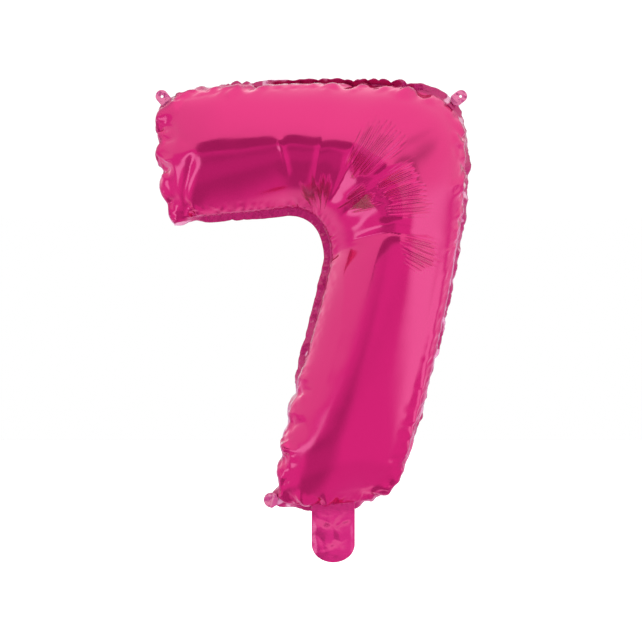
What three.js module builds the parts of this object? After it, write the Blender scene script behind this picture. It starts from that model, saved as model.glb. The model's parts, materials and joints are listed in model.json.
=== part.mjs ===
// An inflated foil number balloon in the shape of a seven, about 400 mm tall with its tail.
// Two foil sheets are heat-sealed to each other round the figure's outline and blown up into front and
// back shells. A tail at the foot takes the gas through a flat self-closing valve of two thin clear films,
// and three tabs stand out from the seam: two with eyelets at the top to hang the balloon, and a plain one
// at the foot.
// Every sheet is a solid of its own. The tail and the tabs are separate bodies that fold along their roots.
// Millimetres. +X is to the reader's right, -Y is towards the reader, and +Z is up.
// The origin is the midpoint between the two top eyelets, in the plane of the seam.
import * as THREE from "three";

// Driving dimensions
const EYELET_SPAN = 242; // between the two top eyelets
const SHELL_DEPTH = 46; // how far each inflated shell stands out from the seam plane
const END_ROUNDING = 50; // length over which each stroke's closed end swells to full depth
const SEAM_WIDTH = 6.5; // flat sealed margin outside the shells
const FOIL = 0.5; // modelled wall of a foil sheet
const BOND_GAP = 0.3; // kept between two sheets that are sealed to each other
const NECK_GAP = 1.6; // between the foil sheets where the valve passes through the seam
const NECK_LIP = 1; // what is left of the margin across the neck
const VALVE_FILM = 0.3; // modelled wall of a valve film
const VALVE_WIDTH = 24;
const VALVE_RISE = 46; // how far the valve reaches up into the balloon
const VALVE_END_SETBACK = 9; // from the tail's tip up to the valve's lower end
const TAIL_WIDTH = 35;
const TAIL_LENGTH = 44.5; // from the fold line to the tip
const TAIL_TIP_HEIGHT = 15; // height of the rounded tip
const TAIL_MIDDLE_X = 17.8;
const TAIL_FOLD_Z = -333;
const FOLD_CLEARANCE = 1.5; // between a fold line and the sheets that turn about it
const VALVE_FOLD_CLEARANCE = 2.5; // the same above the fold, for the valve that stays in the balloon
const TOP_TAB = { width: 10, toFold: 5.5, toTip: 5.5, eyelet: true }; // measured from the eyelet
const FOOT_TAB = { width: 12, toFold: 2, toTip: 6, eyelet: false }; // measured from the middle of its round tip
const EYELET_RADIUS = 1.2;
const ROUND_SEGMENTS = 12; // in a half circle

const point = (x, z) => new THREE.Vector2(x, z);

// The seam line, in X and Z. The figure is one bent stroke of three stretches, from the free end of the bar
// to the foot of the leg, and each stretch lies between an outer and an inner curve.
const BAR_END_TOP = point(-112.5, -7);
const BAR_END_FOOT = point(-108, -98);
const ELBOW_TOP = point(36, 8.5);
const CROOK_START = point(-20, -90);
const ELBOW_SIDE = point(118.5, -95);
const CROOK_END = point(17, -132);
const LEG_END_OUTER = point(65, -312);
const LEG_END_INNER = point(-22, -323.5);

const bar = {
  outer: new THREE.CubicBezierCurve(BAR_END_TOP, point(-106, 3), point(-45, 8), ELBOW_TOP),
  inner: new THREE.CubicBezierCurve(BAR_END_FOOT, point(-95, -94), point(-50, -94), CROOK_START),
  start: new THREE.CubicBezierCurve(BAR_END_TOP, point(-124, -20), point(-119, -80), BAR_END_FOOT),
  spread: (t) => 1 - Math.cos((t * Math.PI) / 2),
  steps: 9,
};
const elbow = {
  outer: new THREE.CubicBezierCurve(ELBOW_TOP, point(116, 10), point(130, -3), ELBOW_SIDE),
  inner: new THREE.CubicBezierCurve(CROOK_START, point(2, -89), point(17, -104), CROOK_END),
  spread: (t) => t,
  steps: 12,
};
const leg = {
  outer: new THREE.QuadraticBezierCurve(ELBOW_SIDE, point(99, -205), LEG_END_OUTER),
  inner: new THREE.CubicBezierCurve(CROOK_END, point(6, -190), point(-25, -285), LEG_END_INNER),
  end: new THREE.CubicBezierCurve(LEG_END_OUTER, point(56, -331), point(-8, -336), LEG_END_INNER),
  spread: (t) => Math.sin((t * Math.PI) / 2),
  steps: 13,
};
const ACROSS = 12; // steps from the outer to the inner seam line
const NECK_COLUMNS = [5, 8]; // the steps across the foot that the tail and its valve take up

const TABS = [
  { name: "left_tab", centre: point(-EYELET_SPAN / 2, 0), toward: point(-0.64, 0.77), ...TOP_TAB },
  { name: "right_tab", centre: point(EYELET_SPAN / 2, 0), toward: point(0.78, 0.62), ...TOP_TAB },
  { name: "foot_tab", centre: point(-32.5, -327), toward: point(-0.96, 0.28), ...FOOT_TAB },
];

const foil = new THREE.MeshStandardMaterial({ color: 0xd4256f, roughness: 0.22, metalness: 0.9 });
const clearFilm = new THREE.MeshStandardMaterial({ color: 0xe9ecee, roughness: 0.35, metalness: 0 });

// How far across the stroke a column lies: columns crowd towards the seam, where the shell is steep.
const share = (column) => (1 - Math.cos((Math.PI * column) / ACROSS)) / 2;

// A point of a stretch's flat patch. A stretch with a curved end edge is drawn out to follow it.
function patchPoint(stretch, t, v) {
  const flat = stretch.outer.getPointAt(t).lerp(stretch.inner.getPointAt(t), v);
  for (const [edge, at, weight] of [[stretch.start, 0, (1 - t) ** 3], [stretch.end, 1, t ** 3]]) {
    if (!edge) continue;
    const straight = stretch.outer.getPointAt(at).lerp(stretch.inner.getPointAt(at), v);
    flat.addScaledVector(edge.getPointAt(v).sub(straight), weight);
  }
  return flat;
}

// The flat stroke as rows of points from the bar's free end to the foot, outer seam line first.
function strokeRows() {
  const rows = [];
  for (const stretch of [bar, elbow, leg]) {
    for (let i = rows.length ? 1 : 0; i <= stretch.steps; i++) {
      const t = stretch.spread(i / stretch.steps);
      rows.push(Array.from({ length: ACROSS + 1 }, (_, column) => patchPoint(stretch, t, share(column))));
    }
  }
  return rows;
}

// The length of the stroke's middle line up to each row.
function middleLengths(rows) {
  const middle = rows.map((row) => row[ACROSS / 2]);
  const lengths = [0];
  for (let i = 1; i < middle.length; i++) lengths.push(lengths[i - 1] + middle[i].distanceTo(middle[i - 1]));
  return lengths;
}

// Depth of a stroke at a distance from its closed end: a quarter circle, then constant.
const swell = (distance) => Math.sqrt(1 - (1 - Math.min(1, distance / END_ROUNDING)) ** 2);

const isNeckColumn = (column) => column >= NECK_COLUMNS[0] && column <= NECK_COLUMNS[1];

// One foil sheet's outside as a grid of points: the swollen stroke with its flat margin all round.
function shellGrid() {
  const rows = strokeRows();
  const lengths = middleLengths(rows);
  const total = lengths.at(-1);
  const last = rows.length - 1;
  const beside = (edge, inward, width = SEAM_WIDTH) =>
    edge.clone().addScaledVector(edge.clone().sub(inward).normalize(), width);
  const marginRow = (edges, inward, widthOf) => [
    beside(edges[0], inward[1]),
    ...edges.map((edge, column) => beside(edge, inward[column], widthOf(column))),
    beside(edges[ACROSS], inward[ACROSS - 1]),
  ];
  const flatRows = rows.map((row) => [beside(row[0], row[1]), ...row, beside(row[ACROSS], row[ACROSS - 1])]);
  const top = marginRow(rows[0], rows[1], () => SEAM_WIDTH);
  const foot = marginRow(rows[last], rows[last - 1], (column) => (isNeckColumn(column) ? NECK_LIP : SEAM_WIDTH));
  return [top, ...flatRows, foot].map((row, r) =>
    row.map((flat, c) => {
      const [i, column] = [r - 1, c - 1];
      const inside = i >= 0 && i <= last && column >= 0 && column <= ACROSS;
      const ends = inside ? swell(Math.min(lengths[i], total - lengths[i])) : 0;
      const height = inside ? SHELL_DEPTH * ends * Math.sin((Math.PI * column) / ACROSS) : 0;
      const gap = i >= last - 1 && isNeckColumn(column) ? NECK_GAP : BOND_GAP;
      return new THREE.Vector3(flat.x, -(gap / 2 + FOIL + height), flat.y);
    }),
  );
}

// Triangles of a grid, wound so that its front faces the reader when rows run down and columns run inwards.
function gridTriangles(rowCount, columnCount, offset, flip) {
  const triangles = [];
  for (let r = 0; r + 1 < rowCount; r++) {
    for (let c = 0; c + 1 < columnCount; c++) {
      const [a, b] = [offset + r * columnCount + c, offset + (r + 1) * columnCount + c];
      triangles.push(...(flip ? [a, b, b + 1, a, b + 1, a + 1] : [a, b + 1, b, a, a + 1, b + 1]));
    }
  }
  return triangles;
}

// The grid's rim, once round, as indices.
function rimOf(rowCount, columnCount) {
  const rim = [];
  for (let c = 0; c < columnCount - 1; c++) rim.push(c);
  for (let r = 0; r < rowCount - 1; r++) rim.push(r * columnCount + columnCount - 1);
  for (let c = columnCount - 1; c > 0; c--) rim.push((rowCount - 1) * columnCount + c);
  for (let r = rowCount - 1; r > 0; r--) rim.push(r * columnCount);
  return rim;
}

// A closed sheet of even thickness behind a grid of points. side is -1 for the front sheet, 1 for the back.
function foilSheet(grid, side) {
  const [rowCount, columnCount] = [grid.length, grid[0].length];
  const count = rowCount * columnCount;
  const skin = new THREE.BufferGeometry().setFromPoints(grid.flat());
  skin.setIndex(gridTriangles(rowCount, columnCount, 0, false));
  skin.computeVertexNormals();
  const normals = skin.getAttribute("normal");
  const inner = grid.flat().map((p, i) => {
    const behind = new THREE.Vector3().fromBufferAttribute(normals, i).multiplyScalar(-FOIL).add(p);
    // The margin's back lies in one plane, so that two sheets meet face to face.
    const flatY = p.y + FOIL;
    return p.y > -(NECK_GAP / 2 + FOIL + 0.01) ? new THREE.Vector3(behind.x, flatY, behind.z) : behind;
  });
  const index = [
    ...gridTriangles(rowCount, columnCount, 0, false),
    ...gridTriangles(rowCount, columnCount, count, true),
  ];
  const rim = rimOf(rowCount, columnCount);
  rim.forEach((a, k) => {
    const b = rim[(k + 1) % rim.length];
    index.push(a, b + count, b, a, a + count, b + count);
  });
  const sheet = new THREE.BufferGeometry().setFromPoints([...grid.flat(), ...inner]);
  sheet.setIndex(index);
  if (side > 0) {
    sheet.scale(1, -1, 1);
    for (let i = 0; i < index.length; i += 3) [index[i + 1], index[i + 2]] = [index[i + 2], index[i + 1]];
    sheet.setIndex(index);
  }
  return sheet;
}

// A flat outline in X and Z made into a sheet whose near face is at y = nearest and whose wall goes back.
function flatSheet(outline, nearest, wall) {
  const sheet = new THREE.ExtrudeGeometry(outline, {
    depth: wall,
    bevelEnabled: false,
    curveSegments: ROUND_SEGMENTS,
  });
  return sheet.rotateX(Math.PI / 2).translate(0, nearest + wall, 0);
}

// The near faces of a front and a back sheet that lie either side of the seam plane.
const layers = (gap, wall) => [["front", -gap / 2 - wall], ["back", gap / 2]];

function part(name, geometry, material) {
  const mesh = new THREE.Mesh(geometry, material);
  mesh.name = name;
  return mesh;
}

function rectangle(width, low, high) {
  const outline = new THREE.Shape();
  outline.moveTo(-width / 2, low);
  outline.lineTo(width / 2, low);
  outline.lineTo(width / 2, high);
  outline.lineTo(-width / 2, high);
  outline.closePath();
  return outline;
}

// A tongue with a rounded tip, from near to far along Z. far may be below near.
function tongue(width, near, far, tipHeight) {
  const way = Math.sign(far - near);
  const outline = new THREE.Shape();
  outline.moveTo(width / 2, near);
  outline.lineTo(-width / 2, near);
  outline.absellipse(0, far - way * tipHeight, width / 2, tipHeight, Math.PI, 0, way > 0);
  outline.closePath();
  return outline;
}

// A round hole, anticlockwise from its top, the other way from the outline that it is cut in.
function ring(x, z, radius) {
  const count = 2 * ROUND_SEGMENTS;
  const around = (_, k) => (2 * Math.PI * k) / count;
  const spot = (angle) => point(x - radius * Math.sin(angle), z + radius * Math.cos(angle));
  return new THREE.Path(Array.from({ length: count }, around).map(spot));
}

function balloonBody() {
  const body = new THREE.Group();
  const grid = shellGrid();
  body.add(part("front_panel", foilSheet(grid, -1), foil));
  body.add(part("back_panel", foilSheet(grid, 1), foil));
  const valve = new THREE.Group();
  valve.position.set(TAIL_MIDDLE_X, 0, TAIL_FOLD_Z);
  for (const [side, near] of layers(BOND_GAP, VALVE_FILM)) {
    const strip = rectangle(VALVE_WIDTH, VALVE_FOLD_CLEARANCE, VALVE_RISE);
    valve.add(part(`valve_film_${side}_upper`, flatSheet(strip, near, VALVE_FILM), clearFilm));
  }
  body.add(valve);
  return body;
}

function tail() {
  const group = new THREE.Group();
  group.position.set(TAIL_MIDDLE_X, 0, TAIL_FOLD_Z);
  for (const [side, near] of layers(NECK_GAP, FOIL)) {
    const outline = tongue(TAIL_WIDTH, -FOLD_CLEARANCE, -TAIL_LENGTH, TAIL_TIP_HEIGHT);
    group.add(part(`tail_${side}_sheet`, flatSheet(outline, near, FOIL), foil));
  }
  for (const [side, near] of layers(BOND_GAP, VALVE_FILM)) {
    const strip = rectangle(VALVE_WIDTH, VALVE_END_SETBACK - TAIL_LENGTH, -FOLD_CLEARANCE);
    group.add(part(`valve_film_${side}_lower`, flatSheet(strip, near, VALVE_FILM), clearFilm));
  }
  return group;
}

function seamTab({ name, centre, toward, width, toFold, toTip, eyelet }) {
  const fold = toward.clone().normalize().multiplyScalar(-toFold).add(centre);
  const group = new THREE.Group();
  group.position.set(fold.x, 0, fold.y);
  group.rotation.y = Math.atan2(toward.x, toward.y);
  for (const [side, near] of layers(BOND_GAP, FOIL)) {
    const outline = tongue(width, FOLD_CLEARANCE, toFold + toTip, width / 2);
    if (eyelet) outline.holes.push(ring(0, toFold, EYELET_RADIUS));
    group.add(part(`${name}_${side}_sheet`, flatSheet(outline, near, FOIL), foil));
  }
  return group;
}

const balloon = new THREE.Group();
balloon.add(balloonBody(), tail(), ...TABS.map(seamTab));

export default balloon;
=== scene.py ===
import json
import math

import bpy
import numpy as np
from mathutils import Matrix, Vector


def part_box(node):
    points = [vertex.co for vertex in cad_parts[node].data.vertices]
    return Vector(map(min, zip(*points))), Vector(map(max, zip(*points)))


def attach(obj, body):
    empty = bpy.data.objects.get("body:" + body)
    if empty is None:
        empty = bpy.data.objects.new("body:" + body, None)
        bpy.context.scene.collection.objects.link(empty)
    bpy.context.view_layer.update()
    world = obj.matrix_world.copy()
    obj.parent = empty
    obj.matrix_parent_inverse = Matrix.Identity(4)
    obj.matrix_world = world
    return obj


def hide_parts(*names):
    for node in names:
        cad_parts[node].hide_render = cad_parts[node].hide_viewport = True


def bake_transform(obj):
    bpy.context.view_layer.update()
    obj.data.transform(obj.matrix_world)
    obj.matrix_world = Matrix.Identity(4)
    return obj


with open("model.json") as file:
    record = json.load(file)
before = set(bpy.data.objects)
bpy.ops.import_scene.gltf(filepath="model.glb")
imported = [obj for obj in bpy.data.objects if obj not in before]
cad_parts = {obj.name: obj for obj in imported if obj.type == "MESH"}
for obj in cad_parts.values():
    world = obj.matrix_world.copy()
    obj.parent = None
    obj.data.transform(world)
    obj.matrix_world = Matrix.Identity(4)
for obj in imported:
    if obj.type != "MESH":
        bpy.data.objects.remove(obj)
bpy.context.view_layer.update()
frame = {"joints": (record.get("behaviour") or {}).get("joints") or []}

# A foil number balloon in the shape of a seven. Two sheets of metallised film are cut flat, sewn along their
# edges and blown up by a cloth simulation, so the swell of the stroke and its larger puckers come from the
# film itself. Gathers, creases and the sealed margin are worked into the result, and the tail with its valve
# and the tabs are sheets of their own.
# Lengths are millimetres until a mesh is made. X is to the reader's right, -Y is towards the reader, Z is up.
MM = 0.001

# Driving dimensions
STEPS_ALONG = (40, 42, 66)  # of the bar, the elbow and the leg
STEPS_ACROSS = 42
FINER = 2  # how many steps of the finished film replace one of the simulation
END_PART = 3  # the curve of a closed end dies away over one part in this many of the stroke
SEAM_WIDTH = 6.5  # of the flat sealed margin
MARGIN_STEPS = 5  # of the film across the margin
SEALED_LOOK = 2.2  # the film's look, with its painted shade, changes from sealed to stretched over this width inside the seam
FOIL = 0.2  # wall of the film, as shown
LAYER = FOIL + 0.04  # from the middle of the seam out to each sheet's face
NECK_OPEN = 0.7  # how far each sheet stands off the seam plane where the valve passes
SEED = 20

joints = {joint["name"]: joint for joint in frame["joints"]}
fold_height = joints["tail_fold"]["pos_m"][2] / MM
tail_middle = joints["tail_fold"]["pos_m"][0] / MM
shell_depth = -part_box("front_panel")[0].y / MM

# The outline along which the sheets are sealed, once the balloon is full, in X and Z. The stroke has three
# stretches from the bar's free end to the foot: bar, elbow and leg. Its closed ends run from the outer to the
# inner edge.
SEALED = {
    "outer": (
        ((-112.5, -7), (-106, 3), (-45, 8), (36, 8.5)),
        ((36, 8.5), (116, 10), (130, -3), (118.5, -95)),
        ((118.5, -95), (99, -205), (65, -312)),
    ),
    "inner": (
        ((-108, -98), (-95, -94), (-50, -94), (-20, -90)),
        ((-20, -90), (2, -89), (17, -104), (17, -132)),
        ((17, -132), (6, -190), (-25, -285), (-22, -323.5)),
    ),
    "start": ((-112.5, -7), (-124, -20), (-119, -80), (-108, -98)),
    "end": ((65, -312), (56, -331), (-8, -336), (-22, -323.5)),
}
# The same outline as the sheets are cut, flat, before the gas draws their edges in.
CUT = {
    "outer": (
        ((-113, 39), (-61, 60), (-6, 41), (46, 33)),
        ((46, 33), (135, 21), (143, -20), (138, -100)),
        ((138, -100), (128, -173), (127, -262), (98, -327)),
    ),
    "inner": (
        ((-140, -66), (-110, -78), (-81, -92), (-50, -100)),
        ((-50, -100), (-28, -106), (-16, -125), (-13, -146)),
        ((-13, -146), (-14, -216), (-32, -287), (-9, -354)),
    ),
    "start": ((-113, 39), (-139, 17), (-154, -35), (-140, -66)),
    "end": ((98, -327), (70, -366), (33, -375), (-9, -354)),
}


# ---------------------------------------------------------------- curves and grids


def bezier(points, share):
    """The curve's point at each share of its parameter."""
    degree = len(points) - 1
    share = np.asarray(share, float)[:, None]
    terms = [math.comb(degree, k) * (1 - share) ** (degree - k) * share**k * np.array(p, float)
             for k, p in enumerate(points)]
    return sum(terms)


def evenly(points, count):
    """count + 1 points equally far apart along a curve."""
    fine = bezier(points, np.linspace(0, 1, 400))
    run = np.r_[0, np.cumsum(np.linalg.norm(np.diff(fine, axis=0), axis=1))]
    at = np.linspace(0, run[-1], count + 1)
    return np.column_stack([np.interp(at, run, fine[:, k]) for k in (0, 1)])


def edge_line(stretches):
    """One edge of the stroke, from the bar's free end to the foot."""
    parts = [evenly(points, count) for points, count in zip(stretches, STEPS_ALONG)]
    return np.concatenate([parts[0], *[part[1:] for part in parts[1:]]])


def flat_grid(outline):
    """The stroke as rows of X and Z across it, from the bar's free end to the foot."""
    outer, inner = edge_line(outline["outer"]), edge_line(outline["inner"])
    across = np.linspace(0, 1, STEPS_ACROSS + 1)[None, :, None]
    grid = (1 - across) * outer[:, None] + across * inner[:, None]
    progress = np.linspace(0, 1, len(outer))
    for edge, row, away in ((outline["start"], 0, progress), (outline["end"], -1, 1 - progress)):
        bulge = evenly(edge, STEPS_ACROSS) - grid[row]
        weight = np.clip(1 - away * END_PART, 0, 1) ** 2
        grid = grid + weight[:, None, None] * bulge[None]
    return grid


def border(grid):
    """A grid's edge, once round: outer edge, foot, inner edge, free end."""
    return np.concatenate([grid[:, 0], grid[-1, 1:], grid[::-1, -1][1:], grid[0, ::-1][1:-1]])


def filled_in(edge, rows, columns):
    """A grid whose values run smoothly between those round its edge."""
    outer, foot = edge[:rows], edge[rows - 1 : rows + columns - 1]
    inner = edge[rows + columns - 2 : 2 * rows + columns - 2][::-1]
    start = np.concatenate([edge[:1], edge[2 * rows + columns - 2 :][::-1], inner[:1]])
    u = np.linspace(0, 1, rows)[:, None, None]
    v = np.linspace(0, 1, columns)[None, :, None]
    sides = (1 - v) * outer[:, None] + v * inner[:, None] + (1 - u) * start[None] + u * foot[None]
    corners = (1 - u) * ((1 - v) * outer[0] + v * inner[0]) + u * ((1 - v) * outer[-1] + v * inner[-1])
    return sides - corners


def round_loop(values, loop, width):
    """values smoothed over about width along a closed line."""
    step = np.linalg.norm(np.roll(loop, -1, 0) - loop, axis=1)
    place = np.r_[0, np.cumsum(step)[:-1]]
    gap = np.abs(place[:, None] - place[None])
    gap = np.minimum(gap, step.sum() - gap)
    weight = np.exp(-((gap / width) ** 2)) * (step + np.roll(step, 1))[None]
    return weight @ values / weight.sum(1)[:, None]


def refined(grid, times):
    """The grid with times as many steps each way, on smooth curves through its points."""
    for axis in (0, 1):
        line = np.moveaxis(grid, axis, 0)
        line = np.concatenate([2 * line[:1] - line[1:2], line, 2 * line[-1:] - line[-2:-1]])
        a, b, c, d = line[:-3], line[1:-2], line[2:-1], line[3:]
        steps = []
        for t in np.arange(times) / times:
            bend = (2 * a - 5 * b + 4 * c - d) * t**2 + (3 * b - a - 3 * c + d) * t**3
            steps.append((2 * b + (c - a) * t + bend) / 2)
        fine = np.stack(steps, 1).reshape(-1, *line.shape[1:])
        grid = np.moveaxis(np.concatenate([fine, c[-1:]]), 0, axis)
    return grid


def grid_faces(ids):
    """The four corners of each face of a grid of vertices."""
    return np.stack([ids[:-1, :-1], ids[:-1, 1:], ids[1:, 1:], ids[1:, :-1]], -1).reshape(-1, 4)


def grid_normals(grid):
    """Unit normals of a grid of points, all to the same side of it."""
    normal = np.cross(np.gradient(grid, axis=1), np.gradient(grid, axis=0))
    return normal / np.maximum(np.linalg.norm(normal, axis=2, keepdims=True), 1e-9)


# ---------------------------------------------------------------- the inflated shells


SIM_SCALE = 0.01  # the simulation runs at ten times the real size, where its solver is steady
SIM_FRAMES = 60
START_GAP = 1  # each sheet starts this far from the seam plane
START_UNEVEN = 0.2


def sewn_sheets(flat):
    """The two sheets joined along their edges: an object, and its vertices as a front and a back grid."""
    rows, columns = flat.shape[:2]
    front = np.arange(rows * columns).reshape(rows, columns)
    back = front.copy()
    inside = (rows - 2) * (columns - 2)
    back[1:-1, 1:-1] = rows * columns + np.arange(inside).reshape(rows - 2, columns - 2)
    points = np.zeros((rows * columns + inside, 3))
    points[front, 0], points[front, 2] = flat[..., 0], flat[..., 1]
    points[back] = points[front]
    points[front[1:-1, 1:-1], 1] = -START_GAP
    points[back[1:-1, 1:-1], 1] = START_GAP
    points[:, 1] += np.random.default_rng(SEED).normal(0, START_UNEVEN, len(points))
    faces = np.concatenate([grid_faces(front), grid_faces(back)[:, ::-1]])
    mesh = bpy.data.meshes.new("sewn_sheets")
    mesh.from_pydata((points * SIM_SCALE).tolist(), [], faces.tolist())
    sheets = bpy.data.objects.new("sewn_sheets", mesh)
    bpy.context.scene.collection.objects.link(sheets)
    return sheets, front, back


def inflate(flat):
    """Blows the sewn sheets up and returns the front and the back as grids of points."""
    sheets, front, back = sewn_sheets(flat)
    cloth = sheets.modifiers.new("gas", "CLOTH")
    film = cloth.settings
    film.quality = 6
    film.mass = 0.05
    film.tension_stiffness = 200
    film.compression_stiffness = 60
    film.shear_stiffness = 40
    film.bending_stiffness = 0.05
    film.tension_damping = film.compression_damping = film.shear_damping = 5
    film.bending_damping = 0.5
    film.air_damping = 2
    film.use_pressure = True
    film.uniform_pressure_force = 6
    film.effector_weights.gravity = 0
    cloth.collision_settings.use_collision = False
    cloth.point_cache.frame_end = SIM_FRAMES
    scene = bpy.context.scene
    scene.frame_start, scene.frame_end = 1, SIM_FRAMES
    for step in range(1, SIM_FRAMES + 1):
        scene.frame_set(step)
    full = sheets.evaluated_get(bpy.context.evaluated_depsgraph_get()).data
    points = np.array([vertex.co for vertex in full.vertices]) / SIM_SCALE
    bpy.data.objects.remove(sheets)
    scene.frame_set(1)
    return points[front], points[back]


PUCKER = 22  # the longest pucker that is left as it is when the shells are drawn to the outline
DEPTH_AT_ELBOW = 1.12  # the film stands out furthest at the elbow, where the stroke is widest
CALMNESS = 0.85  # share of the small puckers along the seam that is taken out, and gathers put in their place
SMOOTH_TO = 9  # further than this from the seam the gas presses the film smooth
SMOOTH_PASSES = 14
TAIL_FLAT = (21, 14)  # half the width and height of the place round a root where the margin lies flat
TAB_FLAT = (9, 9)
LEAN_BLEND = 12  # along the edge, the length over which the margin's lean changes
EDGE_BLEND = 12  # the same for the direction in which the edge is moved


def blurred(grid, passes):
    """The grid with each point drawn towards its neighbours, passes times over."""
    for _ in range(passes):
        for axis in (0, 1):
            line = np.moveaxis(grid, axis, 0)
            line = np.concatenate([2 * line[:1] - line[1:2], line, 2 * line[-1:] - line[-2:-1]])
            grid = np.moveaxis((line[:-2] + 2 * line[1:-1] + line[2:]) / 4, 0, axis)
    return grid


def ramp(value, low, high):
    """value's way from low to high, from 0 to 1, with soft ends."""
    share = np.clip((value - low) / (high - low), 0, 1)
    return share**2 * (3 - 2 * share)


def distance_to(points, loop):
    """How far each point of a grid is from the nearest point of a line, in X and Z."""
    return np.array([np.sqrt(((row[:, None] - loop[None]) ** 2).sum(2)).min(1) for row in points])


def margin_lean(loop):
    """How far the margin leans back from the seam plane at each point of the edge, in radians."""
    spots = np.array([spot[:2] for spot in MARGIN_LEAN], float)
    leans = np.radians([spot[2] for spot in MARGIN_LEAN])
    nearest = np.argmin(((loop[:, None] - spots[None]) ** 2).sum(2), axis=1)
    lean = round_loop(leans[nearest][:, None], loop, LEAN_BLEND)[:, 0]
    return lean * (1 - flat_weight(loop))


def flat_weight(loop):
    """1 where a tab or the tail is rooted and the margin has to lie flat, 0 elsewhere."""
    roots = [np.array(joint["pos_m"])[[0, 2]] / MM for joint in frame["joints"]]
    weight = np.zeros(len(loop))
    for root in roots:
        tail = abs(root[0] - tail_middle) < 1
        gap = (loop - root) / (TAIL_FLAT if tail else TAB_FLAT)
        weight = np.maximum(weight, np.exp(-((gap**2).sum(1) ** 2)))
    return weight


# Gathers in the seam: where the film is drawn in, where the fold that runs in from there ends, and how deep
# that fold is.
GATHERS = (
    ((-122, -37), (-106, -36), 4.5), ((-120, -61), (-110, -59), 4), ((-117, -87), (-106, -84), 4.5),
    ((-113, 1), (-105, -9), 2.6), ((-97, 6), (-95, -5), 1.8), ((-84, 6), (-82, -4), 1.8),
    ((-110, -103), (-106, -92), 1.6), ((-95, -100), (-97, -88), 2),
    ((-9, -240), (2, -237), 2.4), ((-15, -265), (-4, -261), 3), ((-20, -290), (-8, -286), 3.4),
    ((-23, -312), (-12, -305), 3), ((71, -295), (61, -291), 3), ((64, -314), (54, -305), 3.4),
    ((55, -324), (49, -313), 3), ((43, -328), (42, -316), 2.2),
    ((-10, -330), (-6, -318), 1.6),
    ((37, 10), (36, 1), 0.9), ((63, 10), (62, 1), 0.9), ((81, 8), (79, 0), 1.1), ((96, 6), (92, -4), 1.3),
    ((112, 0), (103, -9), 1.7), ((121, -18), (111, -18), 1.3), ((121, -44), (111, -44), 1.3),
    ((121, -76), (112, -76), 1),
)
GATHER_WIDTH = 4
GATHER_MOUTH = 3  # half the width of its deepest stretch
GATHER_DRAW = 1.3  # how far the seam is drawn in, for a fold one deep
GATHER_CLEAR = 2  # from the seam in to where its fold has its full depth
BULGE = 1.2  # between gathers, beside a margin that is folded back


def gathered(points):
    """How far the gathers draw in each point of the seam."""
    drawn = np.zeros(points.shape[:-1])
    for mouth, _, depth in GATHERS:
        gap = np.linalg.norm(points - np.array(mouth), axis=-1)
        fading = np.exp(-np.maximum(gap - GATHER_MOUTH, 0) / GATHER_WIDTH)
        drawn = np.maximum(drawn, GATHER_DRAW * depth * fading)
    return drawn


def gather_fold(x, z, mouth, end, depth):
    """The fold that runs inwards from a gather and dies away."""
    start, step = np.array(mouth, float), np.array(end, float) - mouth
    along = ((x - start[0]) * step[0] + (z - start[1]) * step[1]) / (step @ step)
    along = np.clip(along, 0, 1)
    gap = np.hypot(x - start[0] - along * step[0], z - start[1] - along * step[1])
    return depth * (1 - along) * np.exp(-gap / (1 + GATHER_WIDTH * (0.4 + along)))


def settled(front, back, sealed):
    """Draws the full shells to the sealed outline, and leaves their puckers."""
    rows, columns = sealed.shape[:2]
    edge = border(sealed)
    lean = margin_lean(edge)
    room = SEAM_WIDTH * (1 - np.cos(lean)) + BULGE * np.sin(lean)
    edge = edge + (room - gathered(edge))[:, None] * outward(edge, EDGE_BLEND)
    line = border(front)
    shift = np.zeros((len(line), 3))
    gap = edge - line[:, (0, 2)]
    shift[:, (0, 2)] = (1 - CALMNESS) * round_loop(gap, edge, PUCKER) + CALMNESS * gap
    shift[:, 1] = -line[:, 1] * np.maximum(flat_weight(edge), CALMNESS)
    shift = filled_in(shift, rows, columns)
    depth = shell_depth * DEPTH_AT_ELBOW / np.abs(front[..., 1]).max()
    result = []
    for shell in (front, back):
        shell = shell + shift
        shell[..., 1] *= depth
        away = distance_to(shell[..., (0, 2)], border(shell)[:, (0, 2)])
        smooth = ramp(away, 0, SMOOTH_TO)[..., None]
        shell = (1 - smooth) * shell + smooth * blurred(shell, SMOOTH_PASSES)
        result.append(shell)
    return result


# ---------------------------------------------------------------- creases

# Creases in the full film: the line in X and Z, the depth, and how far it reaches to either side of the line,
# to the left and to the right of somebody who follows it.
CREASES = (
    (((14, -8), (11, -21), (8, -40), (5, -57), (2, -74), (-3, -88)), 1.2, 4, 2.2),
    (((-26, -34), (-22, -50), (-17, -70)), -1.2, 2.2, 2.5),
    (((12, -92), (20, -77), (30, -58), (36, -44)), 3.4, 2.2, 22),
    (((20, -103), (33, -90), (46, -79), (60, -68), (80, -54)), 2.6, 2.5, 18),
    (((50, -74), (54, -86), (58, -98), (60, -108)), 1.1, 12, 6),
    (((22, -121), (36, -117), (62, -112), (77, -114), (92, -113), (107, -118)), 1.8, 4, 4),
    (((26, -134), (27, -160), (24, -190), (17, -212), (11, -236)), -0.8, 3, 3),
    (((-122, -24), (-112, -27), (-102, -38), (-94, -44)), 1.4, 4, 8),
    (((-93, -46), (-96, -60), (-101, -76), (-104, -96)), 2.2, 3, 10),
    (((-96, -86), (-101, -93), (-103, -102)), 2.0, 3, 4),
)
CREASE_END = 0.25  # share of a crease's length over which it fades in and out
CREASE_CLEAR = 8  # from the seam in to where a crease has its full depth


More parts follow.
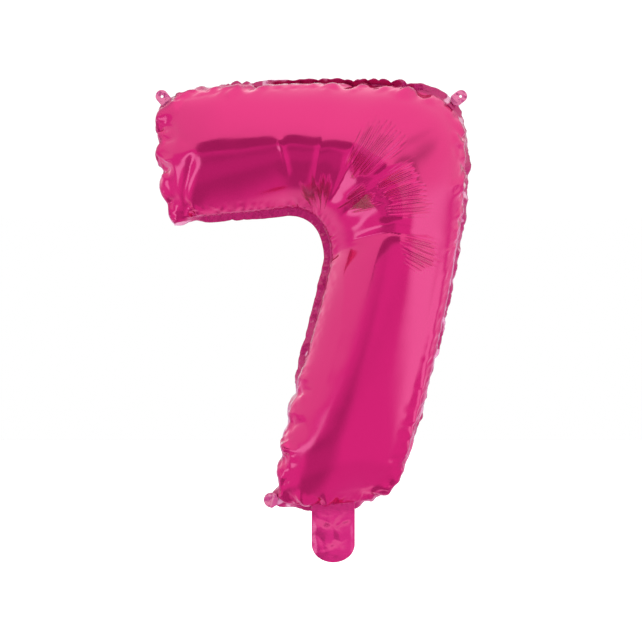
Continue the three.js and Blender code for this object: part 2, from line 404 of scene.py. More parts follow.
def crease_height(x, z, crease):
    """How far a crease pushes the film in at each point, with its own sides and faded ends."""
    line, depth, left, right = crease
    line = np.array(line, float)
    length = np.r_[0, np.cumsum(np.linalg.norm(np.diff(line, axis=0), axis=1))]
    best = np.full(x.shape, 1e9)
    height = np.zeros(x.shape)
    for start, end, run in zip(line[:-1], line[1:], length[:-1]):
        step = end - start
        size = np.hypot(*step)
        along = np.clip(((x - start[0]) * step[0] + (z - start[1]) * step[1]) / size**2, 0, 1)
        off_x, off_z = x - start[0] - along * step[0], z - start[1] - along * step[1]
        gap = np.hypot(off_x, off_z)
        side = step[0] * off_z - step[1] * off_x
        place = (run + along * size) / length[-1]
        fade = ramp(place, 0, CREASE_END) * ramp(1 - place, 0, CREASE_END)
        value = fade * np.exp(-gap / np.where(side > 0, left, right))
        height = np.where(gap < best, value, height)
        best = np.minimum(best, gap)
    return depth * height


def creased(shell, side):
    """The shell with its creases and gathers pressed in along its normals."""
    x, z = shell[..., 0], shell[..., 2]
    height = sum(crease_height(x, z, crease) for crease in CREASES)
    away = distance_to(shell[..., (0, 2)], border(shell)[:, (0, 2)])
    height = height * ramp(away, 0, CREASE_CLEAR)
    height = height + sum(gather_fold(x, z, *gather) for gather in GATHERS) * ramp(away, 0, GATHER_CLEAR)
    normal = grid_normals(shell)
    normal *= np.sign(normal[..., 1:2].mean()) * side
    return shell - height[..., None] * normal


# ---------------------------------------------------------------- the sealed margin

# Where the film bulges out over its margin, the margin lies folded back behind it. At each of these spots on
# the edge, X and Z, the lean is in degrees.
MARGIN_LEAN = (
    (-118, -20, 88), (-118, -50, 88), (-114, -85, 88), (-100, 2, 84), (-85, 4, 64), (-55, 8, 20),
    (-20, 8, -35), (20, 9, -40), (60, 9, -35), (95, 4, 10), (115, -20, 55), (119, -60, 50), (117, -100, 55),
    (107, -155, 60), (92, -215, 62), (75, -275, 62), (66, -305, 80), (40, -330, 60), (-10, -330, 55),
    (-21, -310, 86), (-19, -275, 88), (-10, -245, 70), (0, -200, 30), (12, -155, 20), (10, -112, 10),
    (-20, -90, 15), (-60, -93, 25), (-90, -95, 40), (-106, -98, 84),
)
MARGIN_BLEND = 4  # along the edge, the length over which the margin's direction changes
CORNER_TURN = math.radians(40)  # either way from a corner's middle, the fan that the margin makes round it
FINE_RUFFLE = (0.7, 1.8)  # height, and length along the edge
BROAD_RUFFLE = (1.3, 5)
FOLDED_BACK = math.radians(60)  # the ruffles begin to flatten at this lean
FOLDED_FLAT = math.radians(85)  # and here they have lost the share that follows
FLATTENED = 0.7
CROOK = (-5, -130)
CROOK_REACH = (50, 85)  # the margin keeps its full width up to the first of these from the crook
SCALLOP = 15  # along the edge, from one notch in the margin to the next
DRIFT = (0.8, 18)  # how unevenly the notches follow each other, and over which length along the edge
NOTCH = 0.5  # share of the margin's width that the deepest notch takes
NECK_LIP = 1  # the margin's width across the neck, above the tail's fold
NECK_EDGE = (0.5, 3)  # in from the tail's side, where the margin narrows to the lip


def outward(loop, width):
    """Unit directions away from the figure, at each point of its edge line."""
    tangent = np.roll(loop, -1, 0) - np.roll(loop, 1, 0)
    tangent /= np.linalg.norm(tangent, axis=1)[:, None]
    tangent = round_loop(tangent, loop, width)
    tangent /= np.linalg.norm(tangent, axis=1)[:, None]
    return np.column_stack([-tangent[:, 1], tangent[:, 0]])


def ruffles(loop, rng):
    """How far the margin's outer edge leaves the margin's own plane, all round."""
    rough = rng.normal(0, 1, (len(loop), 1))
    fine = round_loop(rough, loop, FINE_RUFFLE[1])
    broad = round_loop(rough[::-1], loop, BROAD_RUFFLE[1])
    return (FINE_RUFFLE[0] * fine / fine.std() + BROAD_RUFFLE[0] * broad / broad.std())[:, 0]


def scallops(loop, rng):
    """The margin's width at each point of the edge, drawn in to a notch at every fold."""
    step = np.linalg.norm(np.roll(loop, -1, 0) - loop, axis=1)
    run = np.r_[0, np.cumsum(step)[:-1]]
    drift = round_loop(rng.normal(0, 1, (len(loop), 1)), loop, DRIFT[1])[:, 0]
    drift /= drift.std()
    waves = np.abs(np.sin(np.pi * (run / SCALLOP + DRIFT[0] * drift)))
    free = ramp(np.hypot(*(loop - CROOK).T), *CROOK_REACH)
    depth = NOTCH * free * (0.5 + 0.5 * ramp(drift, -1, 1))
    return SEAM_WIDTH * (1 - depth * (1 - waves**0.5))


def across_neck(loop):
    """1 where the tail comes out of the edge, 0 elsewhere."""
    beside = np.abs(loop[:, 0] - tail_middle)
    foot = loop[:, 1] < TAIL_TOP + SEAM_WIDTH
    return ramp(TAIL_WIDTH / 2 - beside, *NECK_EDGE) * foot


def with_margin(grid, side, rng):
    """The grid with the sealed margin added all round it."""
    rows, columns = grid.shape[:2]
    seam = border(grid)
    line = seam[:, (0, 2)]
    direction = outward(line, MARGIN_BLEND)
    lean = margin_lean(line)
    rooted = flat_weight(line)
    ruffle = ruffles(line, rng) * (1 - rooted) * (1 - FLATTENED * ramp(lean, FOLDED_BACK, FOLDED_FLAT))
    width = SEAM_WIDTH * rooted + scallops(line, rng) * (1 - rooted)
    width = width + (NECK_LIP - width) * across_neck(line)

    # Each point of the wide grid, its nearest point on the seam, and how many steps out from there it lies
    row, column = np.mgrid[-MARGIN_STEPS : rows + MARGIN_STEPS, -MARGIN_STEPS : columns + MARGIN_STEPS]
    near_row, near_column = np.clip(row, 0, rows - 1), np.clip(column, 0, columns - 1)
    past_row, past_column = np.abs(row - near_row), np.abs(column - near_column)
    past = np.maximum(past_row, past_column)
    seam_order = np.zeros(rows * columns, int)
    seam_order[border(np.arange(rows * columns).reshape(rows, columns, 1))[:, 0]] = np.arange(len(line))
    near = seam_order[near_row * columns + near_column]

    fan = np.where((past_row > 0) & (past_column > 0), past_row - past_column, 0) / np.maximum(past, 1)
    turn = np.where((near_row == 0) == (near_column > 0), fan, -fan) * CORNER_TURN
    x = direction[near, 0] * np.cos(turn) - direction[near, 1] * np.sin(turn)
    z = direction[near, 0] * np.sin(turn) + direction[near, 1] * np.cos(turn)

    out = past / MARGIN_STEPS
    level, upright = np.cos(lean)[near], np.sin(lean)[near]
    wave = ruffle[near] * out
    reach = width[near] * out * level - wave * upright / 2 - side * LAYER * upright
    y = seam[near, 1] + width[near] * out * upright + wave * level - side * LAYER * (1 - level)
    wide = np.stack([seam[near, 0] + reach * x, y, seam[near, 2] + reach * z], -1)
    wide[MARGIN_STEPS:-MARGIN_STEPS, MARGIN_STEPS:-MARGIN_STEPS] = grid
    return wide


# ---------------------------------------------------------------- meshes


def from_grid(name, grid, film, facing, crumple_and_shade):
    """A sheet of film from a grid of points, with film as its UV map.

    facing is -1 for a sheet seen from the front and 1 for one seen from the back. The last argument is 1
    where the film is sealed and crumpled and 0 where it is stretched; the foil materials darken the film
    there with painted shade.
    """
    rows, columns = grid.shape[:2]
    faces = grid_faces(np.arange(rows * columns).reshape(rows, columns))
    a, b, c = (grid.reshape(-1, 3)[faces[:, k]] for k in (0, 1, 2))
    if np.cross(b - a, c - a)[:, 1].sum() * facing < 0:
        faces = faces[:, ::-1]
    mesh = bpy.data.meshes.new(name)
    mesh.from_pydata((grid.reshape(-1, 3) * MM).tolist(), [], faces.tolist())
    layer = mesh.uv_layers.new(name="film")
    where = film.reshape(-1, 2)[faces.reshape(-1)] * MM
    layer.data.foreach_set("uv", where.reshape(-1))
    mask = mesh.attributes.new("crumple_and_shade", "FLOAT", "POINT")
    mask.data.foreach_set("value", np.broadcast_to(crumple_and_shade, grid.shape[:2]).reshape(-1).astype(np.float32))
    piece = bpy.data.objects.new(name, mesh)
    bpy.context.scene.collection.objects.link(piece)
    return piece


def give_wall(piece, wall, outside, inside):
    """Gives a sheet its wall behind its outer face, its two materials and smooth shading."""
    piece.data.materials.append(outside)
    piece.data.materials.append(inside)
    bpy.ops.object.select_all(action="DESELECT")
    bpy.context.view_layer.objects.active = piece
    piece.select_set(True)
    solid = piece.modifiers.new("wall", "SOLIDIFY")
    solid.thickness = wall * MM
    solid.offset = -1
    solid.material_offset = 1
    bpy.ops.object.modifier_apply(modifier=solid.name)
    bpy.ops.object.shade_smooth()
    piece.select_set(False)


def shells(outside, inside):
    """The front and the back panel with their margins."""
    flat, sealed = flat_grid(CUT), flat_grid(SEALED)
    front, back = inflate(flat)
    film = refined(flat, FINER)
    pad = ((MARGIN_STEPS, MARGIN_STEPS), (MARGIN_STEPS, MARGIN_STEPS), (0, 0))
    film = np.pad(film, pad, mode="reflect", reflect_type="odd")
    pieces = []
    for name, shell, side in zip(("front_foil", "back_foil"), settled(front, back, sealed), (-1, 1)):
        shell = creased(refined(shell, FINER), side)
        rows, columns = shell.shape[:2]
        rooted = flat_weight(border(shell)[:, (0, 2)])[:, None]
        shell[..., 1] += side * (LAYER + NECK_OPEN * filled_in(rooted, rows, columns)[..., 0])
        wide = with_margin(shell, side, np.random.default_rng(SEED))
        away = distance_to(shell[..., (0, 2)], border(shell)[:, (0, 2)])
        crumple_and_shade = np.pad(1 - ramp(away, 0, SEALED_LOOK), MARGIN_STEPS, constant_values=1)
        piece = from_grid(name, wide, film, side, crumple_and_shade)
        give_wall(piece, FOIL, outside, inside)
        pieces.append(piece)
    return pieces


# ---------------------------------------------------------------- tail, valve and tabs

TAIL_WIDTH = 35
TAIL_TOP = -325  # it comes out from under the last puckers
TAIL_TIP = -377.5
TAIL_TIP_HEIGHT = 15
TAIL_STANDS_OFF = 1.1  # the tail's sheet from the seam plane, at its middle
TAIL_PUFF = 2.2  # air left in it stands its middle off further
TAIL_PUFF_FROM = (2, 16)  # below the fold, where the puff begins and where it is whole
TAIL_PUFF_END = 8  # and above the tip, where it ends
TAIL_LUMPS = 0.45
TAIL_LUMP_PASSES = 60
TAIL_SEALED_EDGE = 0.3  # share of its half width over which its side comes down to the seam
TAIL_MOUTH = (0.3, 10)  # share of its stand-off that is left at the tip, and the height over which it falls
TAIL_NECK = (-6, -1)  # from the fold, where the sides have opened out to pass outside the seam
TAIL_CREASED_LOOK = (-341, -331)  # the film looks crumpled, and is darkened with painted shade, above the second of these
VALVE_ROOM = 0.15
FOLD_BAND = 3  # the length of film that turns at a fold
VALVE_WIDTH = 24
VALVE_TOP = -287
VALVE_FOOT = -368.5
VALVE_FILM = 0.1
VALVE_STANDS_OFF = 0.11  # the outer face of each film from the seam plane
# As the creases above
TAIL_CREASES = (
    (((24, -334), (17, -347), (18, -356), (15, -368)), 0.9, 5, 2.5),
    (((18, -350), (26, -344), (34, -341)), 0.8, 2, 4),
    (((17, -347), (10, -343), (1, -340)), 0.7, 4, 2),
    (((16, -357), (24, -360), (33, -356)), 0.6, 3, 3),
    (((2, -352), (9, -360), (11, -371)), 0.6, 3, 3),
    (((12, -335), (13, -342), (9, -350)), 0.5, 2, 2),
)


def tongue_grid(width, near, far, tip, rows, columns):
    """A tongue with a rounded tip as rows of X and Z, from near to far along Z. far may lie below near."""
    out = math.copysign(1, far - near)
    bend = np.sin(np.linspace(0, np.pi / 2, rows // 2))[1:]
    start_of_tip = far - out * tip
    z = np.r_[np.linspace(near, start_of_tip, rows - rows // 2 + 1), start_of_tip + out * tip * bend]
    beyond = np.clip((z - start_of_tip) * out / tip, 0, 1)
    half = width / 2 * np.sqrt(np.clip(1 - beyond**2, 0.0005, 1))
    across = np.linspace(-1, 1, columns)
    return np.stack([half[:, None] * across[None], np.repeat(z[:, None], columns, 1)], -1)


def tail_sheet(name, side, rng, outside, inside):
    """One foil layer of the tail, softly crumpled, open at its tip."""
    film = tongue_grid(TAIL_WIDTH, TAIL_TOP, TAIL_TIP, TAIL_TIP_HEIGHT, 90, 61)
    film[..., 0] += tail_middle
    x, z = film[..., 0], film[..., 1]
    across = np.abs(x - tail_middle) / (TAIL_WIDTH / 2)
    full = ramp(fold_height - z, *TAIL_PUFF_FROM) * ramp(z - TAIL_TIP, 0, TAIL_PUFF_END)
    full = full * np.clip(1 - across**2, 0, 1)
    lumps = blurred(rng.normal(0, 1, (*x.shape, 1)), TAIL_LUMP_PASSES)[..., 0]
    lumps *= TAIL_LUMPS / lumps.std()
    left, height = TAIL_MOUTH
    apart = ramp(1 - across, 0, TAIL_SEALED_EDGE) * (left + (1 - left) * ramp(z - TAIL_TIP, 0, height))
    apart = np.maximum(apart, ramp(z - fold_height, *TAIL_NECK))
    y = LAYER + (TAIL_STANDS_OFF - LAYER) * apart + (TAIL_PUFF + lumps) * full
    y -= full**0.5 * sum(crease_height(x, z, crease) for crease in TAIL_CREASES)
    y = np.maximum(y, LAYER + VALVE_ROOM * ramp(1 - across, 0, 0.2))
    sheet = np.stack([x, side * y, z], -1)
    crumple_and_shade = 0.1 + 0.6 * ramp(z, *TAIL_CREASED_LOOK)
    piece = from_grid(name, sheet, film, side, crumple_and_shade)
    give_wall(piece, FOIL, outside, inside)
    return piece


def valve_strip(name, side, material):
    """One film of the flat valve, from inside the tail through the neck and up into the balloon."""
    z = np.linspace(VALVE_TOP, VALVE_FOOT, 60)
    x = np.linspace(-VALVE_WIDTH / 2, VALVE_WIDTH / 2, 9) + tail_middle
    grid = np.stack(np.broadcast_arrays(x[None], side * VALVE_STANDS_OFF, z[:, None]), -1)
    piece = from_grid(name, grid, grid[..., (0, 2)], side, 0)
    give_wall(piece, VALVE_FILM, material, material)
    return piece


EYELET_RADIUS = 1.2
TAB_LEAN = 0.2  # a tab's free part falls back by this share of its length
TAB_ROOT = 3.5  # how far a tab's film runs on behind its fold
TAB_NARROWS = 0.5  # share of its width that it loses there
TAB_STANDS_OFF = 0.45  # its outer face from its middle plane
TAB_CRUMPLE_AND_SHADE = 0.25  # how crumpled it looks, and how far painted shade darkens it
# Waves in a tab: height, and turns of the wave for each millimetre across and along, in radians
TAB_WAVES = ((0.35, 0.9, 0.5), (0.25, -0.8, 1.3), (0.5, 0.45, 0.18))
TABS = {
    # The middle of the eyelet or of the round tip, in X and Z, the direction outwards, the width, and how far
    # it is from that middle to the fold and to the tip
    "left_tab": ((-121, 0), (-0.64, 0.77), 10, 5.5, 5.5),
    "right_tab": ((121, 0), (0.78, 0.62), 10, 5.5, 5.5),
    "foot_tab": ((-32.5, -327), (-0.96, 0.28), 12, 2, 6),
}


def eyelet_rings(width, root, tip, rings, steps):
    """Rings of X and Z from an eyelet's edge out to the outline of its tab."""
    angle = np.linspace(0, 2 * np.pi, steps + 1)
    dx, dz = np.sin(angle), np.cos(angle)
    half, centre = width / 2, tip - width / 2
    to_tip = dz * centre + np.sqrt(half**2 - (dx * centre) ** 2)
    to_side = half / np.maximum(np.abs(dx), 1e-6)
    to_root = np.where(dz < -1e-6, root / np.maximum(-dz, 1e-6), 1e6)
    outline = np.where(dz * to_side > centre, to_tip, np.minimum(to_side, to_root))
    share = np.linspace(0, 1, rings)[:, None]
    reach = EYELET_RADIUS * (1 - share) + outline[None] * share
    return np.stack([reach * dx[None], reach * dz[None]], -1)


def tab_layer(name, tab, side, rng, outside, inside):
    """One foil layer of a tab, a little wrinkled."""
    middle, direction, width, to_fold, to_tip = TABS[tab]
    if tab == "foot_tab":
        local = tongue_grid(width, -to_fold - TAB_ROOT, to_tip, width / 2, 40, 25)
    else:
        local = eyelet_rings(width, to_fold + TAB_ROOT, to_tip, 14, 72)
    past_fold = local[..., 1] + to_fold
    local[..., 0] *= 1 - TAB_NARROWS * ramp(-past_fold, 0, TAB_ROOT)
    along = np.array(direction) / np.hypot(*direction)
    right = np.array((along[1], -along[0]))
    flat = np.array(middle) + local[..., :1] * right + local[..., 1:] * along
    free = ramp(past_fold, 0, FOLD_BAND)
    waves = [height * np.sin(local[..., 0] * turn_across + local[..., 1] * turn_along + phase)
             for (height, turn_across, turn_along), phase in zip(TAB_WAVES, rng.uniform(0, 6, 3))]
    stands_off = TAB_STANDS_OFF + NECK_OPEN * (1 - free)
    y = sum(waves) * free + side * stands_off + TAB_LEAN * np.maximum(past_fold, 0)
    sheet = np.stack([flat[..., 0], y, flat[..., 1]], -1)
    piece = from_grid(name, sheet, flat, side, TAB_CRUMPLE_AND_SHADE)
    give_wall(piece, FOIL, outside, inside)
    return piece


def across_fold(piece):
    """Bakes the piece's placement into its mesh."""
    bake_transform(piece)


# ---------------------------------------------------------------- materials


def new_material(name):
    """A material, its node tree and its Principled shader."""
    material = bpy.data.materials.new(name)
    material.use_nodes = True
    return material, material.node_tree, material.node_tree.nodes["Principled BSDF"]


def fill(socket, value):
    """Links a socket to another, or sets it."""
    if isinstance(value, bpy.types.NodeSocket):
        socket.id_data.links.new(value, socket)
    else:
        socket.default_value = value


def sums(tree, operation, *values):
    """A Math node's result for sockets or numbers."""
    node = tree.nodes.new("ShaderNodeMath")
    node.operation = operation
    for socket, value in zip(node.inputs, values):
        fill(socket, value)
    return node.outputs[0]


def span(tree, value, low, high, to_low=0, to_high=1):
    """value carried smoothly from low..high to to_low..to_high."""
    node = tree.nodes.new("ShaderNodeMapRange")
    node.interpolation_type = "SMOOTHSTEP"
    for socket, number in zip(node.inputs, (value, low, high, to_low, to_high)):
        fill(socket, number)
    return node.outputs[0]


def window(tree, value, low, high, soft):
    """1 between low and high, 0 beyond, with soft edges."""
    inside = span(tree, value, low - soft, low + soft)
    return sums(tree, "MULTIPLY", inside, span(tree, value, high + soft, high - soft))


def noise(tree, place, scale, detail=2):
    """A cloudy value from 0 to 1."""
    node = tree.nodes.new("ShaderNodeTexNoise")
    fill(node.inputs["Vector"], place)
    node.inputs["Scale"].default_value = scale
    node.inputs["Detail"].default_value = detail
    return node.outputs["Fac"]


def vector(tree, x, y, z):
    """One vector of three sockets or numbers."""
    node = tree.nodes.new("ShaderNodeCombineXYZ")
    for socket, value in zip(node.inputs, (x, y, z)):
        fill(socket, value)
    return node.outputs[0]


def height_group(name, **inputs):
    """A new node group with these inputs that will put out a height: its tree and the inputs' sockets."""
    tree = bpy.data.node_groups.new(name, "ShaderNodeTree")
    for label, value in inputs.items():
        tree.interface.new_socket(label, in_out="INPUT", socket_type="NodeSocketFloat").default_value = value
    tree.interface.new_socket("Height", in_out="OUTPUT", socket_type="NodeSocketFloat")
    return tree, tree.nodes.new("NodeGroupInput").outputs


def put_out(tree, height):
    """Ends a height group and returns it."""
    fill(tree.nodes.new("NodeGroupOutput").inputs["Height"], height)
    return tree


FOLD_FAN = (8, -100)  # the fine folds at the inner corner run out from here, in X and Z
# Bundles of fine folds: the angles in degrees between which they lie, and how far out they start and end
FOLD_BUNDLES = ((42, 64, 42, 96), (2, 31, 50, 90), (72, 128, 13, 34), (-28, -13, 70, 98), (10, 38, 22, 46))
FOLD_SPACING = 0.042  # in radians, from one fold to the next
BUNDLE_SIDE = 0.06  # in radians, half the angle over which a bundle fades at its sides
BUNDLE_ENDS = (8, 14)  # lengths over which it fades in and out
BUNDLE_RAGGED = 0.04  # how unevenly its folds end, in metres
FOLDS_SWERVE = 9  # how far a fold strays from its ray, in radians of its wave


def radial_folds():
    """Node group: the height of the fine folds that fan out from the inner corner, in metres."""
    tree, given = height_group("radial_folds", Spacing=0.06, Depth=0.0005)
    split = tree.nodes.new("ShaderNodeSeparateXYZ")
    fill(split.inputs[0], tree.nodes.new("ShaderNodeTexCoord").outputs["Object"])
    x = sums(tree, "SUBTRACT", split.outputs["X"], FOLD_FAN[0] * MM)
    z = sums(tree, "SUBTRACT", split.outputs["Z"], FOLD_FAN[1] * MM)
    reach = sums(tree, "SQRT", sums(tree, "ADD", sums(tree, "MULTIPLY", x, x), sums(tree, "MULTIPLY", z, z)))
    angle = sums(tree, "ARCTAN2", z, x)
    spot = vector(tree, sums(tree, "MULTIPLY", angle, 7), sums(tree, "MULTIPLY", reach, 40), 1)
    uneven = sums(tree, "SUBTRACT", noise(tree, spot, 1), 0.5)
    ragged = sums(tree, "ADD", reach, sums(tree, "MULTIPLY", uneven, BUNDLE_RAGGED))
    where = 0
    for low, high, near, far in FOLD_BUNDLES:
        low, high = math.radians(low), math.radians(high)
        share = window(tree, angle, low, high, BUNDLE_SIDE)
        fade_in, fade_out = BUNDLE_ENDS
        share = sums(tree, "MULTIPLY", share, span(tree, ragged, near * MM, (near + fade_in) * MM))
        share = sums(tree, "MULTIPLY", share, span(tree, ragged, far * MM, (far - fade_out) * MM))
        where = sums(tree, "MAXIMUM", where, share)
    turns = sums(tree, "DIVIDE", angle, given["Spacing"])
    spot = vector(tree, sums(tree, "MULTIPLY", angle, 9), sums(tree, "MULTIPLY", reach, 25), 5)
    swerve = sums(tree, "MULTIPLY", noise(tree, spot, 1, detail=1), FOLDS_SWERVE)
    waves = sums(tree, "SINE", sums(tree, "ADD", sums(tree, "MULTIPLY", turns, 6.283), swerve))
    return put_out(tree, sums(tree, "MULTIPLY", sums(tree, "MULTIPLY", waves, where), given["Depth"]))


def film_crinkle():
    """Node group: the height of the small crinkles all over the film, in metres."""
    tree, given = height_group("film_crinkle", Size=0.006, Depth=0.0001)
    place = tree.nodes.new("ShaderNodeTexCoord").outputs["Object"]
    scaled = tree.nodes.new("ShaderNodeVectorMath")
    scaled.operation = "DIVIDE"
    fill(scaled.inputs[0], place)
    fill(scaled.inputs[1], vector(tree, given["Size"], given["Size"], given["Size"]))
    broad = noise(tree, scaled.outputs[0], 1, detail=0)
    fine = noise(tree, scaled.outputs[0], 3.1, detail=1)
    both = sums(tree, "ADD", broad, sums(tree, "MULTIPLY", fine, 0.25))
    return put_out(tree, sums(tree, "MULTIPLY", both, given["Depth"]))


def placed(tree, group, **values):
    """A node group put into a tree with its own values; its result."""
    node = tree.nodes.new("ShaderNodeGroup")
    node.node_tree = group
    for name, value in values.items():
        node.inputs[name].default_value = value
    return node.outputs[0]


def blend_colors(tree, share, first, second):
    """first where share is 0 and second where it is 1."""
    node = tree.nodes.new("ShaderNodeMix")
    node.data_type = "RGBA"
    fill(node.inputs["Factor"], share)
    fill(node.inputs[6], first)  # the node's colour sockets A and B
    fill(node.inputs[7], second)
    return node.outputs[2]


CALM_EDGE = (-25, -115)  # round here the sealed margin has no painted glints
CALM_REACH = (0.06, 0.09)  # in metres, where they begin again
PAINTED_GLINTS = (75, 0.57, 0.64)  # painted glints, pale spots of reflection painted into the colour: how close they lie, and the stretch of the noise over which they come up
CRUMPLE = {"Size": 0.0028, "Depth": 0.0005}  # of sealed film


def foil_material(name, color, roughness, groups, crinkle, folds):
    """Tinted lacquer over aluminium: a metal under a thin clear coat, duller where it is sealed. Painted
    shade darkens the sealed film, and painted glints of pale pink stand for reflections on the sealed margin.

    crinkle is the size and depth of its crinkles and folds the depth of the fine folds, 0 for none.
    """
    material, tree, shader = new_material(name)
    place = tree.nodes.new("ShaderNodeTexCoord").outputs["Object"]
    mask = tree.nodes.new("ShaderNodeAttribute")
    mask.attribute_name = "crumple_and_shade"
    crumple_and_shade = mask.outputs["Fac"]
    away = tree.nodes.new("ShaderNodeVectorMath")
    away.operation = "DISTANCE"
    fill(away.inputs[0], place)
    away.inputs[1].default_value = (CALM_EDGE[0] * MM, 0, CALM_EDGE[1] * MM)
    closeness, low, high = PAINTED_GLINTS
    # Painted reflection: pale pink glints painted into the base colour of the sealed margin
    painted_glints = span(tree, noise(tree, place, closeness, detail=1), low, high)
    painted_glints = sums(tree, "MULTIPLY", painted_glints, span(tree, crumple_and_shade, 0.85, 1))
    painted_glints = sums(tree, "MULTIPLY", painted_glints, span(tree, away.outputs["Value"], *CALM_REACH))
    # Painted shade: sealed, crumpled film takes a darker magenta
    tint = blend_colors(tree, crumple_and_shade, (*color, 1), (*SHADED_SEALED_MAGENTA, 1))
    fill(shader.inputs["Base Color"], blend_colors(tree, painted_glints, tint, (*PAINTED_GLINT_PINK, 1)))
    fill(shader.inputs["Metallic"], span(tree, crumple_and_shade, 0, 1, 0.88, 0.5))
    patchy = span(tree, noise(tree, place, 45), 0.3, 0.7, roughness - 0.03, roughness + 0.04)
    fill(shader.inputs["Roughness"], patchy)
    shader.inputs["Coat Weight"].default_value = 0.5
    shader.inputs["Coat Roughness"].default_value = 0.12
    size, depth = crinkle
    height = placed(tree, groups["crinkle"], Size=size, Depth=depth)
    crumple = placed(tree, groups["crinkle"], **CRUMPLE)
    height = sums(tree, "ADD", height, sums(tree, "MULTIPLY", crumple, crumple_and_shade))
    if folds:
        height = sums(tree, "ADD", height, placed(tree, groups["folds"], Spacing=FOLD_SPACING, Depth=folds))
    bump = tree.nodes.new("ShaderNodeBump")
    bump.inputs["Distance"].default_value = 1
    fill(bump.inputs["Height"], height)
    fill(shader.inputs["Normal"], bump.outputs["Normal"])
    return material


def clear_film_material():
    """The valve's clear plastic."""
    material, tree, shader = new_material("clear_film")
    place = tree.nodes.new("ShaderNodeTexCoord").outputs["Object"]
    shader.inputs["Base Color"].default_value = (0.92, 0.93, 0.94, 1)
    fill(shader.inputs["Roughness"], span(tree, noise(tree, place, 120), 0.3, 0.7, 0.12, 0.28))
    shader.inputs["Alpha"].default_value = 0.45
    return material


# ---------------------------------------------------------------- studio


# The room's light as the foil reflects it, with 1 for plain white
DIM = 0.38  # low in front
DIM_COLOR = (1, 0.35, 0.92, 1)
DIM_SIDES = 0.32  # added there to the right, and far to the left
DIM_BAND = 0.12  # added there in a band well below the level of the eye
DIM_LEVEL = 0.34  # added there just below it
DIM_MOST = 0.78
BRIGHT = (0.95, 1.06)  # at the level of the eye and overhead
BRIGHT_BEHIND = 0.2  # added behind
BEHIND_SHARE = 0.55  # how far it is bright low behind
STREAK = 0.5  # taken away in a streak high on the right
LEFT_SHADE = 0.1  # taken away on the left


def room_light():
    """A white room seen by the camera. The foil sees it bright above and behind, and dim low in front."""
    world = bpy.data.worlds.new("studio")
    bpy.context.scene.world = world
    world.use_nodes = True
    tree = world.node_tree
    split = tree.nodes.new("ShaderNodeSeparateXYZ")
    fill(split.inputs[0], tree.nodes.new("ShaderNodeTexCoord").outputs["Generated"])
    x, y, z = split.outputs

    sides = sums(tree, "MAXIMUM", span(tree, x, -0.25, 0.1), span(tree, x, -0.5, -0.75))
    low = sums(tree, "ADD", DIM, sums(tree, "MULTIPLY", sides, DIM_SIDES))
    low = sums(tree, "ADD", low, sums(tree, "MULTIPLY", window(tree, z, -0.6, -0.3, 0.08), DIM_BAND))
    low = sums(tree, "ADD", low, span(tree, z, -0.25, -0.02, 0, DIM_LEVEL))
    low = sums(tree, "MINIMUM", low, DIM_MOST)

    high = sums(tree, "ADD", span(tree, z, 0, 1, *BRIGHT), span(tree, y, 0.2, 0.9, 0, BRIGHT_BEHIND))
    streak = sums(tree, "MULTIPLY", window(tree, x, 0.58, 0.8, 0.06), window(tree, z, 0.08, 0.5, 0.1))
    high = sums(tree, "SUBTRACT", high, sums(tree, "MULTIPLY", streak, STREAK))
    high = sums(tree, "SUBTRACT", high, span(tree, x, -0.35, -0.6, 0, LEFT_SHADE))

    bright = sums(tree, "MAXIMUM", span(tree, z, 0, 0.1), span(tree, y, 0.1, 0.45, 0, BEHIND_SHARE))
    light = sums(tree, "ADD", sums(tree, "MULTIPLY", bright, sums(tree, "SUBTRACT", high, low)), low)
    seen = tree.nodes.new("ShaderNodeLightPath").outputs["Is Camera Ray"]
    background = tree.nodes["Background"]
    white = sums(tree, "MAXIMUM", bright, seen)
    fill(background.inputs["Color"], blend_colors(tree, white, DIM_COLOR, (1, 1, 1, 1)))
    fill(background.inputs["Strength"], sums(tree, "MAXIMUM", light, seen))


def floor():
    """A plain pale floor that doesn't show in the foil."""
    bpy.ops.mesh.primitive_plane_add(size=6, location=(0, 1, -0.55))
    plane = bpy.context.active_object
    plane.name = "floor"
    plane.visible_glossy = False
    material, _, shader = new_material("pale_floor")
    shader.inputs["Base Color"].default_value = (0.9, 0.9, 0.9, 1)
    shader.inputs["Roughness"].default_value = 0.7
    shader.inputs["Emission Color"].default_value = (1, 1, 1, 1)
    shader.inputs["Emission Strength"].default_value = 0.55
    plane.data.materials.append(material)


def reflector(name, middle, turn, size, light, soft):
    """An upright card that only shows in the foil. It fades out over soft, shares of its width and height."""
    upright = (math.radians(90), 0, math.radians(turn))
    bpy.ops.mesh.primitive_plane_add(size=1, location=middle, rotation=upright)
    card = bpy.context.active_object
    card.name = name
    card.scale = (size[0], size[1], 1)
    card.visible_camera = card.visible_diffuse = card.visible_shadow = False
    material, tree, shader = new_material(name)
    split = tree.nodes.new("ShaderNodeSeparateXYZ")
    fill(split.inputs[0], tree.nodes.new("ShaderNodeTexCoord").outputs["Object"])
    share = 1
    for axis, edge in zip(split.outputs, soft):
        share = sums(tree, "MULTIPLY", share, span(tree, sums(tree, "ABSOLUTE", axis), 0.5, 0.5 - edge))
    shader.inputs["Base Color"].default_value = (0, 0, 0, 1)
    shader.inputs["Specular IOR Level"].default_value = 0
    shader.inputs["Emission Color"].default_value = (*light, 1)
    shader.inputs["Emission Strength"].default_value = 1
    fill(shader.inputs["Alpha"], share)
    card.data.materials.append(material)


def lamp(name, place, aim, size, power):
    """A soft oblong lamp that doesn't show in the foil."""
    light = bpy.data.lights.new(name, "AREA")
    light.shape = "RECTANGLE"
    light.size, light.size_y = size
    light.energy = power
    holder = bpy.data.objects.new(name, light)
    bpy.context.scene.collection.objects.link(holder)
    holder.visible_glossy = False
    holder.location = place
    holder.rotation_euler = Vector(np.array(aim) - np.array(place)).to_track_quat("-Z", "Y").to_euler()


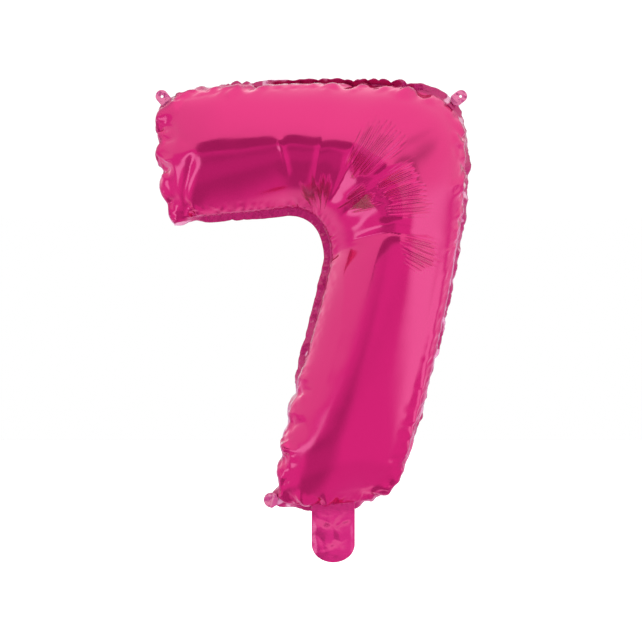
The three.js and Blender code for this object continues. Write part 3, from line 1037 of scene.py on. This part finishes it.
VIEW_WIDTH = 520  # what the picture takes in at the balloon
VIEW_MIDDLE = (7.9, -182)
LENS = 100
SENSOR = 36  # its width


def camera():
    """The camera, level with the balloon's middle and straight in front of it."""
    data = bpy.data.cameras.new("camera")
    data.lens = LENS
    data.sensor_width = SENSOR
    eye = bpy.data.objects.new("camera", data)
    bpy.context.scene.collection.objects.link(eye)
    distance = VIEW_WIDTH * LENS / SENSOR
    eye.location = (VIEW_MIDDLE[0] * MM, -distance * MM, VIEW_MIDDLE[1] * MM)
    eye.rotation_euler = (math.radians(90), 0, 0)
    bpy.context.scene.camera = eye


# ---------------------------------------------------------------- assembly

MAGENTA = (0.775, 0.026, 0.205)  # stretched film
LIMP_MAGENTA = (0.82, 0.05, 0.26)
# painted highlight: the tabs' film is given a paler pink than the balloon's, for the bright reflections on
# them
TAB_PAINTED_HIGHLIGHT_PINK = (0.85, 0.22, 0.42)
# painted shade: the darker magenta of sealed, crumpled film
SHADED_SEALED_MAGENTA = (0.5, 0.012, 0.14)
# painted reflection: the pale pink of the glints painted on the sealed margin
PAINTED_GLINT_PINK = (0.85, 0.42, 0.58)
SILVER = (0.8, 0.8, 0.8)

FILM_ROUGHNESS = 0.14
LIMP_ROUGHNESS = 0.2
TAB_ROUGHNESS = 0.25
INSIDE_ROUGHNESS = 0.3
FAN_DEPTH = 0.0006  # of the fine folds, in metres

camera()
room_light()
floor()
reflector("dark_front", (-0.13, -0.69, 0.03), 0, (0.88, 0.27), (0.34, 0.12, 0.3), (0.06, 0.08))
reflector("left_box", (-0.9, -0.68, -0.42), 90, (1.26, 0.28), (1.05, 2.3, 1.5), (0.08, 0.2))
reflector("right_box", (0.9, -0.42, -0.35), 90, (1.1, 1.1), (1.05, 1.7, 1.3), (0.4, 0.25))
lamp("top_front", (0.1, -1.5, 1.3), (0, 0, -0.15), (2.4, 1.6), 6)
bpy.context.scene.view_settings.view_transform = "Standard"

groups = {"folds": radial_folds(), "crinkle": film_crinkle()}
foil = foil_material("magenta_foil", MAGENTA, FILM_ROUGHNESS, groups, (0.011, 0.00008), FAN_DEPTH)
limp_foil = foil_material("limp_magenta_foil", LIMP_MAGENTA, LIMP_ROUGHNESS, groups, (0.004, 0.0002), 0)
tab_foil = foil_material("tab_magenta_foil", TAB_PAINTED_HIGHLIGHT_PINK, TAB_ROUGHNESS, groups, (0.003, 0.0003), 0)
silver = foil_material("silver_inside", SILVER, INSIDE_ROUGHNESS, groups, (0.01, 0.0001), 0)
clear_film = clear_film_material()

front_foil, back_foil = shells(foil, silver)
for piece, node in ((front_foil, "front_panel"), (back_foil, "back_panel")):
    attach(piece, "balloon")
    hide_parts(node)

rng = np.random.default_rng(SEED)
for face, side in (("front", -1), ("back", 1)):
    sheet = tail_sheet(f"tail_{face}_foil", side, rng, limp_foil, silver)
    across_fold(sheet)
    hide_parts(f"tail_{face}_sheet")
    valve = valve_strip(f"valve_{face}_film", side, clear_film)
    across_fold(valve)
    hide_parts(f"valve_film_{face}_upper", f"valve_film_{face}_lower")
    for tab in TABS:
        layer = tab_layer(f"{tab}_{face}_foil", tab, side, np.random.default_rng(len(tab)), tab_foil, silver)
        across_fold(layer)
        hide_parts(f"{tab}_{face}_sheet")
